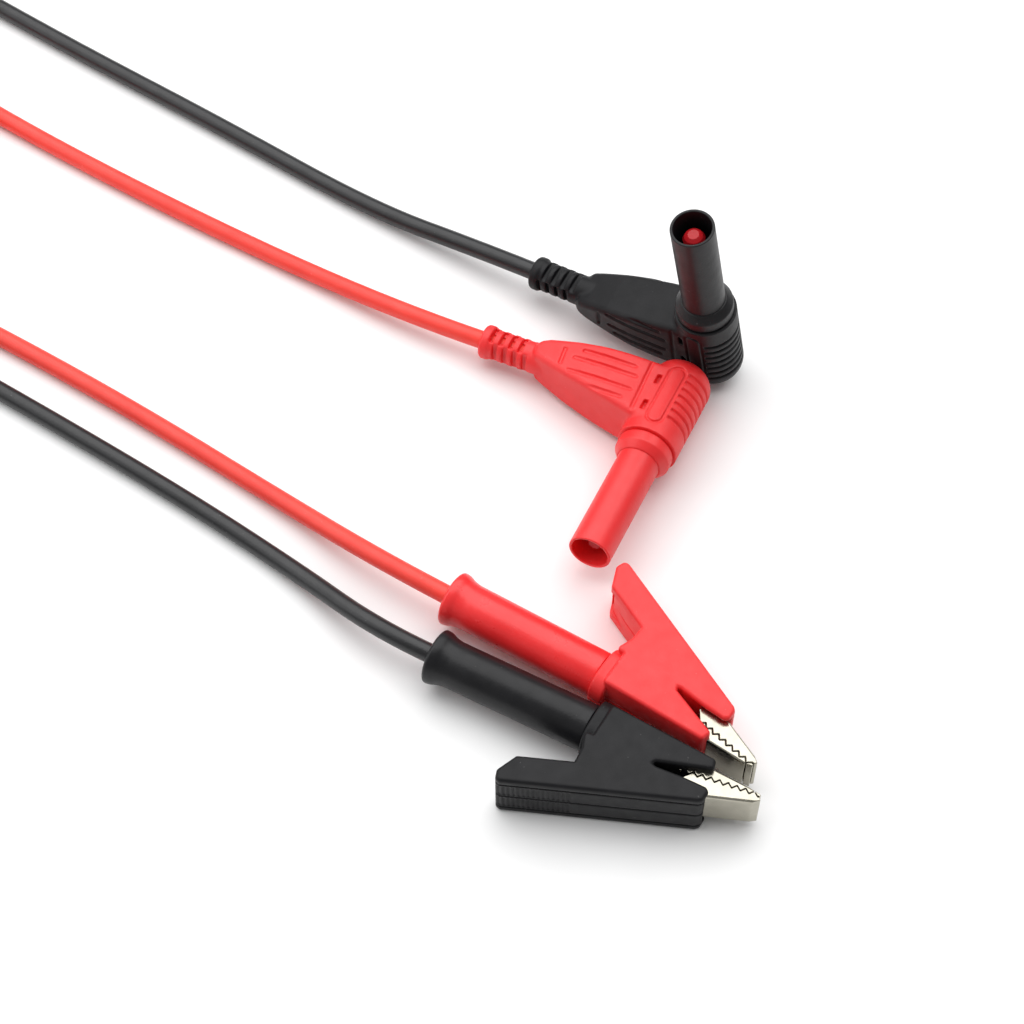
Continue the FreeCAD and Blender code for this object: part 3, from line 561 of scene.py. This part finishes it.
def fixed_jaw_field(x, y, z):
    """Lower channel with teeth, two ears on the rivet, and the crimp barrel."""
    plates = extrude(outline_distance(FIXED_OUTLINE, x, y) + 0.06, z, JAW_HALF, 0.06)
    ears = rod(np.hypot(x - PIVOT[0], y - PIVOT[1]), z, -JAW_HALF, JAW_HALF, EAR_RADIUS, 0.05)
    bend = np.hypot(
        np.maximum(np.abs(z) - (JAW_HALF - 0.55), 0), np.minimum(y + 1.4, 0)
    )
    shape = np.maximum(join(plates, ears), np.where(y < -1.4, bend - 0.55, -1))
    trough = np.maximum(np.abs(z) - (JAW_HALF - STEEL), x - 28.3)
    trough = np.maximum(trough, -1.25 - y)
    shape = cut(shape, trough, 0.1)
    shape = np.maximum(shape, -x + 0.5)
    around = np.hypot(y, z)
    shape = join(shape, rod(around, x, -9, 2.5, 1.9, 0.15), 0.3)
    shape = cut(shape, rod(around, x, -10, 2.0, 1.1, 0.05))
    return cut(shape, np.hypot(x - PIVOT[0], y - PIVOT[1]) - RIVET_RADIUS)


def moving_jaw_field(x, y, z):
    """Upper channel with teeth, stepped in behind them, and its lever tail."""
    flat = outline_distance(MOVING_OUTLINE, x, y)
    front = extrude(flat + 0.06, z, JAW_HALF, 0.06)
    slope = math.atan2(2.75, 6.5)
    back = (y - 3.2) * math.cos(slope) + (x - 22.0) * math.sin(slope)
    corner = np.hypot(
        np.maximum(np.abs(z) - (JAW_HALF - 0.55), 0), np.maximum(back + 0.55, 0)
    )
    front = np.maximum(front, np.where(back > -0.55, corner - 0.55, -1))
    room = np.maximum(np.abs(z) - (JAW_HALF - STEEL), x - 28.4)
    room = np.maximum(room, np.maximum(back + STEEL, 16.9 - x))
    front = cut(front, room, 0.1)
    tail = extrude(outline_distance(TAIL_OUTLINE, x, y) + 0.06, z, TAIL_HALF, 0.06)
    tail_back = (y - 5.38) * math.cos(slope) + (x - 16.9) * math.sin(slope)
    tail_room = np.maximum(np.abs(z) - (TAIL_HALF - STEEL), tail_back + STEEL)
    tail = cut(tail, np.maximum(tail_room, x - 16.2), 0.1)
    shape = join(front, tail)
    hole = np.hypot(x - PIVOT[0], y - PIVOT[1]) - (RIVET_RADIUS + RIVET_PLAY)
    return cut(shape, hole)


# ---------------------------------------------------------------- torsion spring

SPRING_RADIUS = 2.0
SPRING_WIRE = 0.25
SPRING_HALF = 1.9
SPRING_TURNS = 5
SPRING_STEPS = 100
JAW_LEG, LEAD_LEG = 8.4, 8.0


def torsion_spring():
    """Wire wound round the rivet, with one leg under the lever and one in the fixed jaw."""

    def on_coil(angle, z):
        return (
            PIVOT[0] + SPRING_RADIUS * math.cos(angle),
            PIVOT[1] + SPRING_RADIUS * math.sin(angle),
            z,
        )

    def leg_end(spot, way, run):
        return (spot[0] + run * math.cos(way), spot[1] + run * math.sin(way), spot[2])

    first, last = math.radians(63.5), math.radians(50)
    sweep = SPRING_TURNS * math.tau + first - last
    wound = [
        on_coil(first - sweep * k / SPRING_STEPS, SPRING_HALF * (2 * k / SPRING_STEPS - 1))
        for k in range(SPRING_STEPS + 1)
    ]
    spots = [leg_end(wound[0], first + math.radians(90), JAW_LEG)]
    spots += wound
    spots.append(leg_end(wound[-1], last + math.radians(-90), LEAD_LEG))
    curve = bpy.data.curves.new("torsion_spring", "CURVE")
    curve.dimensions = "3D"
    curve.bevel_depth = SPRING_WIRE
    curve.bevel_resolution = 3
    curve.use_fill_caps = True
    spline = curve.splines.new("POLY")
    spline.points.add(len(spots) - 1)
    for point, spot in zip(spline.points, spots):
        point.co = (*spot, 1)
    wire = bpy.data.objects.new("torsion_spring", curve)
    mesh = bpy.data.meshes.new_from_object(wire)
    mesh.shade_smooth()
    bpy.data.objects.remove(wire)
    bpy.data.curves.remove(curve)
    return mesh


# ---------------------------------------------------------------- turned shapes


def lathe(name, profile, turns=96):
    """Surface of revolution about +X from (place along, radius) corners."""
    points, faces = [], []
    count = len(profile)
    for k in range(turns):
        angle = math.tau * k / turns
        for along, radius in profile:
            points.append((along, radius * math.cos(angle), radius * math.sin(angle)))
    for k in range(turns):
        nxt = (k + 1) % turns
        for j in range(count):
            i = (j + 1) % count
            faces.append((k * count + j, k * count + i, nxt * count + i, nxt * count + j))
    mesh = bpy.data.meshes.new(name)
    mesh.from_pydata(points, [], faces)
    mesh.validate()
    mesh.shade_smooth()
    return mesh


def rounded(corners, radius, steps=5):
    """A closed profile with each of its corners turned into a small arc."""
    result = []
    for k, corner in enumerate(corners):
        here = Vector(corner)
        back = Vector(corners[k - 1]) - here
        ahead = Vector(corners[(k + 1) % len(corners)]) - here
        reach = min(radius, 0.45 * back.length, 0.45 * ahead.length)
        first, last = here + back.normalized() * reach, here + ahead.normalized() * reach
        for j in range(steps + 1):
            t = j / steps
            point = first * (1 - t) ** 2 + here * 2 * t * (1 - t) + last * t**2
            result.append(tuple(point))
    return result


SLEEVE_PROFILE = [
    (-0.1, 2.6),
    (-0.1, 3.5),
    (-2.0, 3.5),
    (-2.0, 4.25),
    (-28.8, 4.25),
    (-30.2, 4.5),
    (-31.2, 4.95),
    (-32.3, 5.05),
    (-32.7, 4.3),
    (-32.7, 1.9),
    (-30.6, 1.9),
    (-30.6, 2.6),
]
SHROUD_PROFILE = [
    (0.0, 2.0),
    (0.0, 5.0),
    (0.35, 5.0),
    (0.35, 5.35),
    (2.4, 5.35),
    (3.9, 4.25),
    (3.9, 4.0),
    (26.2, 4.0),
    (26.2, 3.45),
    (2.6, 3.45),
    (2.6, 2.0),
]
TURN_TO_Z = Matrix.Rotation(math.radians(-90), 4, "Y")

# ---------------------------------------------------------------- materials


def node(tree, kind, **inputs):
    made = tree.nodes.new(kind)
    for name, value in inputs.items():
        key = name.replace("_", " ")
        made.inputs[key].default_value = value
    return made


def noise(tree, scale, detail=3.0, stretch=None):
    """Noise over the piece's own coordinates."""
    place_node = tree.nodes.new("ShaderNodeTexCoord")
    source = place_node.outputs["Object"]
    if stretch:
        mapping = tree.nodes.new("ShaderNodeMapping")
        mapping.inputs["Scale"].default_value = stretch
        tree.links.new(source, mapping.inputs["Vector"])
        source = mapping.outputs["Vector"]
    made = node(tree, "ShaderNodeTexNoise", Scale=scale, Detail=detail, Roughness=0.55)
    tree.links.new(source, made.inputs["Vector"])
    return made.outputs["Fac"]


def spread(tree, value, low, high, start=0.3, end=0.7):
    """The value mapped from start..end to low..high."""
    made = tree.nodes.new("ShaderNodeMapRange")
    tree.links.new(value, made.inputs["Value"])
    for name, number in (
        ("From Min", start),
        ("From Max", end),
        ("To Min", low),
        ("To Max", high),
    ):
        made.inputs[name].default_value = number
    return made.outputs["Result"]


def mix(tree, value, first, second):
    ramp = tree.nodes.new("ShaderNodeValToRGB")
    ramp.color_ramp.elements[0].color = (*first, 1)
    ramp.color_ramp.elements[0].position = 0.3
    ramp.color_ramp.elements[1].color = (*second, 1)
    ramp.color_ramp.elements[1].position = 0.7
    tree.links.new(value, ramp.inputs["Fac"])
    return ramp.outputs["Color"]


def bump(tree, value, distance, strength=1.0):
    made = node(tree, "ShaderNodeBump", Strength=strength, Distance=distance)
    tree.links.new(value, made.inputs["Height"])
    return made.outputs["Normal"]


def blank_material(name):
    made = bpy.data.materials.new(name)
    made.use_nodes = True
    tree = made.node_tree
    return made, tree, tree.nodes["Principled BSDF"]


def plastic(name, first, second, rough, grain=0.00002, grain_scale=2600, sheen=0.5, depth=0.0):
    """Moulded plastic, rubber or silicone: faint mottling, uneven gloss and a fine grain."""
    made, tree, shader = blank_material(name)
    link = tree.links.new
    dust = tree.nodes.new("ShaderNodeMix")
    dust.data_type = "RGBA"
    link(spread(tree, noise(tree, 1300, 1), 0, 0.35, 0.75, 0.8), dust.inputs["Factor"])
    link(mix(tree, noise(tree, 160, 4), first, second), dust.inputs["A"])
    dust.inputs["B"].default_value = (*[min(1, 0.12 + c) for c in second], 1)
    link(dust.outputs["Result"], shader.inputs["Base Color"])
    link(spread(tree, noise(tree, 420, 5), *rough), shader.inputs["Roughness"])
    link(bump(tree, noise(tree, grain_scale, 2), grain), shader.inputs["Normal"])
    shader.inputs["Specular IOR Level"].default_value = sheen
    if depth:
        shader.inputs["Subsurface Weight"].default_value = depth
        shader.inputs["Subsurface Radius"].default_value = (0.0016, 0.0003, 0.0003)
        shader.inputs["Subsurface Scale"].default_value = 1.0
    return made


def metal(name, first, second, rough, streak=(1, 1, 1)):
    """Plated or drawn metal: uneven tint and gloss, with fine rolling marks."""
    made, tree, shader = blank_material(name)
    link = tree.links.new
    link(mix(tree, noise(tree, 260, 4), first, second), shader.inputs["Base Color"])
    marks = noise(tree, 900, 4, streak)
    link(spread(tree, marks, *rough), shader.inputs["Roughness"])
    link(bump(tree, marks, 0.00001), shader.inputs["Normal"])
    shader.inputs["Metallic"].default_value = 1.0
    return made


RED_DARK, RED_LIGHT = (0.80, 0.022, 0.024), (0.87, 0.03, 0.032)
CHARCOAL_DARK, CHARCOAL_LIGHT = (0.0065, 0.0065, 0.0075), (0.0105, 0.0105, 0.012)
looks = {
    "red_cover": plastic("red_cover", RED_DARK, RED_LIGHT, (0.42, 0.55), depth=0.25),
    "red_handle": plastic("red_handle", RED_DARK, RED_LIGHT, (0.26, 0.36), depth=0.2),
    "red_mould": plastic("red_mould", RED_DARK, RED_LIGHT, (0.40, 0.52), depth=0.25),
    "red_shroud": plastic("red_shroud", RED_DARK, RED_LIGHT, (0.34, 0.45), depth=0.2),
    "red_cord": plastic(
        "red_cord", (0.85, 0.045, 0.03), (0.92, 0.06, 0.04), (0.38, 0.5), depth=0.2
    ),
    "black_cover": plastic(
        "black_cover", CHARCOAL_DARK, CHARCOAL_LIGHT, (0.40, 0.52), sheen=0.22
    ),
    "black_handle": plastic(
        "black_handle", CHARCOAL_DARK, CHARCOAL_LIGHT, (0.30, 0.42), sheen=0.3
    ),
    "black_mould": plastic(
        "black_mould", CHARCOAL_DARK, CHARCOAL_LIGHT, (0.38, 0.50), sheen=0.22
    ),
    "black_shroud": plastic(
        "black_shroud", CHARCOAL_DARK, CHARCOAL_LIGHT, (0.34, 0.45), sheen=0.3
    ),
    "black_cord": plastic(
        "black_cord", (0.007, 0.007, 0.008), (0.012, 0.012, 0.0135), (0.28, 0.4)
    ),
    "jaw": metal("jaw", (0.40, 0.38, 0.31), (0.50, 0.475, 0.40), (0.14, 0.28), (1, 1, 6)),
    "rivet": metal("rivet", (0.68, 0.67, 0.65), (0.78, 0.77, 0.74), (0.22, 0.36)),
    "spring": metal("spring", (0.48, 0.48, 0.49), (0.6, 0.6, 0.6), (0.24, 0.4)),
    "conductor": metal("conductor", (0.74, 0.38, 0.24), (0.85, 0.5, 0.34), (0.2, 0.34)),
    "pin": metal("pin", (0.7, 0.64, 0.48), (0.82, 0.77, 0.62), (0.18, 0.3)),
    "lantern": metal("lantern", (0.76, 0.6, 0.3), (0.88, 0.74, 0.42), (0.16, 0.28)),
    "core": plastic("core", (0.08, 0.08, 0.09), (0.11, 0.11, 0.12), (0.4, 0.5)),
    # pin tip: red of its own, darkened to about half the other reds as painted shade for its
    # place deep in the shroud's mouth
    "pin_tip": plastic(
        "pin_tip", (0.42, 0.008, 0.012), (0.5, 0.012, 0.018), (0.2, 0.3), sheen=0.3
    ),
}

NODE_SLOTS = {
    "cover_fixed_half": "{}_cover",
    "cover_lever_half": "{}_cover",
    "handle_sleeve": "{}_handle",
    "plug_body": "{}_mould",
    "shroud": "{}_shroud",
    "cord_coil": "{}_cord",
    "cord_clip_run": "{}_cord",
    "cord_plug_run": "{}_cord",
    "clip_cord_end": "{}_cord",
    "plug_cord_end": "{}_cord",
    "clip_conductor": "conductor",
    "plug_conductor": "conductor",
    "contact_pin": "pin",
    "pin_spring": "lantern",
    "pin_tip": "pin_tip",
    "plug_core": "core",
    "fixed_jaw": "jaw",
    "moving_jaw": "jaw",
    "pivot_rivet": "rivet",
    "torsion_spring": "spring",
}
for lead in LEADS:
    for part, slot_name in NODE_SLOTS.items():
        cad_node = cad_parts[f"{lead}_{part}"]
        cad_node.data.materials.clear()
        cad_node.data.materials.append(looks[slot_name.format(lead)])
    cords[lead].data.materials.append(looks[lead + "_cord"])

# ---------------------------------------------------------------- pieces in place

cover_mesh = mesh_from_field(
    "cover", cover_field, (-11, -5.2, -5.8), (22, 19.2, 5.8), COVER_STEP
)
plug_mesh = mesh_from_field(
    "plug", plug_field, (-6, -6, -20.2), (38.6, 6, 0.2), PLUG_STEP
)
spring_mesh = torsion_spring()
sleeve_mesh = lathe("sleeve", rounded(SLEEVE_PROFILE, 0.5))
shroud_mesh = lathe("shroud", rounded(SHROUD_PROFILE, 0.22))
fixed_jaw_mesh = mesh_from_field(
    "fixed_jaw", fixed_jaw_field, (-9.2, -2.1, -4.0), (29.8, 8.6, 4.0), JAW_STEP
)
moving_jaw_mesh = mesh_from_field(
    "moving_jaw", moving_jaw_field, (-7.8, -1.9, -4.0), (29.9, 16.0, 4.0), JAW_STEP
)

for lead in LEADS:
    clip, plug = clip_frame(lead), plug_frame(lead)
    handle = clip_frame(lead, SLEEVE_SWING[lead])
    cover = place(
        lead + "_cover",
        cover_mesh,
        clip,
        None,
        looks[lead + "_cover"],
        lead + "_cover",
        lead + "_cover_fixed_half",
        lead + "_cover_lever_half",
    )
    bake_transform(cover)
    for part, mesh, body in (
        ("_fixed_jaw", fixed_jaw_mesh, "_lead"),
        ("_moving_jaw", moving_jaw_mesh, "_jaw"),
    ):
        place(
            lead + "_steel" + part, mesh, clip, lead + body, looks["jaw"], "jaw", lead + part
        )
    spring = place(
        lead + "_spring",
        spring_mesh,
        clip,
        None,
        looks["spring"],
        "spring",
        lead + "_torsion_spring",
    )
    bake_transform(spring)
    place(
        lead + "_sleeve",
        sleeve_mesh,
        handle,
        lead + "_lead",
        looks[lead + "_handle"],
        lead + "_handle",
        lead + "_handle_sleeve",
    )
    place(
        lead + "_overmould",
        plug_mesh,
        plug,
        lead + "_lead",
        looks[lead + "_mould"],
        lead + "_mould",
        lead + "_plug_body",
    )
    place(
        lead + "_plug_shroud",
        shroud_mesh,
        plug @ TURN_TO_Z,
        lead + "_lead",
        looks[lead + "_shroud"],
        lead + "_shroud",
        lead + "_shroud",
    )

# ---------------------------------------------------------------- floor and light


def area_light(name, spot, target, size, power, colour=(1, 1, 1)):
    data = bpy.data.lights.new(name, "AREA")
    data.shape = "RECTANGLE"
    data.size, data.size_y = size
    data.energy = power
    data.color = colour
    lamp = bpy.data.objects.new(name, data)
    bpy.context.scene.collection.objects.link(lamp)
    lamp.location = spot
    lamp.rotation_euler = (Vector(target) - Vector(spot)).to_track_quat("-Z", "Y").to_euler()
    return lamp


floor_mesh = bpy.data.meshes.new("floor")
floor_mesh.from_pydata(
    [(-3, -3, 0), (3, -3, 0), (3, 3, 0), (-3, 3, 0)], [], [(0, 1, 2, 3)]
)
floor = bpy.data.objects.new("floor", floor_mesh)
bpy.context.scene.collection.objects.link(floor)
floor_look, floor_tree, floor_shader = blank_material("floor")
floor_tree.links.new(
    mix(floor_tree, noise(floor_tree, 30, 4), (0.9, 0.9, 0.9), (0.93, 0.93, 0.93)),
    floor_shader.inputs["Base Color"],
)
floor_tree.links.new(
    spread(floor_tree, noise(floor_tree, 90, 4), 0.55, 0.7), floor_shader.inputs["Roughness"]
)
floor_mesh.materials.append(floor_look)

area_light("overhead", (0.0, 0.45, 0.95), (0, 0.05, 0), (2.0, 1.3), 19)
area_light("left", (-1.0, 0.0, 0.6), (0, 0, 0), (0.8, 0.8), 3)
bpy.context.scene.view_settings.view_transform = "Standard"
world = bpy.data.worlds.new("studio")
world.use_nodes = True
world.node_tree.nodes["Background"].inputs["Color"].default_value = (1, 1, 1, 1)
world.node_tree.nodes["Background"].inputs["Strength"].default_value = 0.34
bpy.context.scene.world = world
